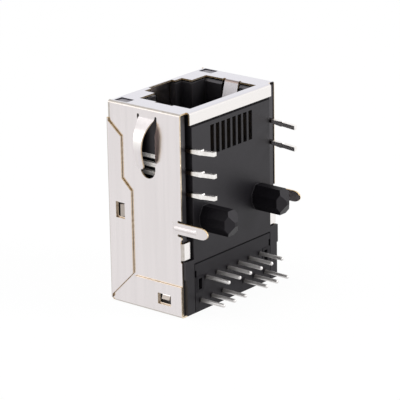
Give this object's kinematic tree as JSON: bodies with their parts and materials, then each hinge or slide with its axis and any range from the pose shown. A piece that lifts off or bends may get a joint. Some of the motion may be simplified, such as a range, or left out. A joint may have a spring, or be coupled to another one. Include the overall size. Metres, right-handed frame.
{
  "type": "shielded network jack",
  "caption": "Shielded board jack for a modular network plug, with side ground springs, signal lamps, locating pegs and pins for a circuit board.",
  "frame": {"origin": "centre of the rear face, which the part stands on", "axes": "+Z out of the mouth, -Y towards the circuit board it is soldered to, X along the width"},
  "size_m": [0.0214, 0.0161, 0.0248],
  "materials": {
    "shield_tin": "bright tin plate on thin sheet, fine rolling grain",
    "housing_plastic": "black moulded thermoplastic, fine mould texture",
    "carrier_plastic": "black moulded thermoplastic",
    "block_plastic": "black moulded thermoplastic",
    "board_green": "green solder mask on glass laminate",
    "contact_gold": "gold flash on spring bronze",
    "pin_tin": "dull tin plate, darker at the root",
    "winding_copper": "enamelled copper windings on a ferrite ring",
    "chip_black": "chip resistor body",
    "chip_ceramic": "ceramic chip capacitor body",
    "lamp_clear": "clear epoxy lens, smoky when unlit",
    "lead_tin": "bright tin plate"
  },
  "bodies": {
    "root": {"capacitor": "chip_ceramic", "choke_1": "winding_copper", "choke_2": "winding_copper", "choke_3": "winding_copper", "choke_4": "winding_copper", "circuit_board": "board_green", "contact_1": "contact_gold", "contact_2": "contact_gold", "contact_3": "contact_gold", "contact_4": "contact_gold", "contact_5": "contact_gold", "contact_6": "contact_gold", "contact_7": "contact_gold", "contact_8": "contact_gold", "contact_carrier": "carrier_plastic", "front_shield": "shield_tin", "housing": "housing_plastic", "lamp_left": "lamp_clear", "lamp_left_lead_1": "lead_tin", "lamp_left_lead_2": "lead_tin", "lamp_left_lead_3": "lead_tin", "lamp_right": "lamp_clear", "lamp_right_lead_1": "lead_tin", "lamp_right_lead_2": "lead_tin", "pin_block": "block_plastic", "rear_shield": "shield_tin", "resistor_1": "chip_black", "resistor_2": "chip_black", "resistor_3": "chip_black", "resistor_4": "chip_black", "signal_pin_1": "pin_tin", "signal_pin_10": "pin_tin", "signal_pin_11": "pin_tin", "signal_pin_12": "pin_tin", "signal_pin_2": "pin_tin", "signal_pin_3": "pin_tin", "signal_pin_4": "pin_tin", "signal_pin_5": "pin_tin", "signal_pin_6": "pin_tin", "signal_pin_7": "pin_tin", "signal_pin_8": "pin_tin", "signal_pin_9": "pin_tin", "transformer_1": "winding_copper", "transformer_2": "winding_copper", "transformer_3": "winding_copper", "transformer_4": "winding_copper"}
  },
  "joints": []
}
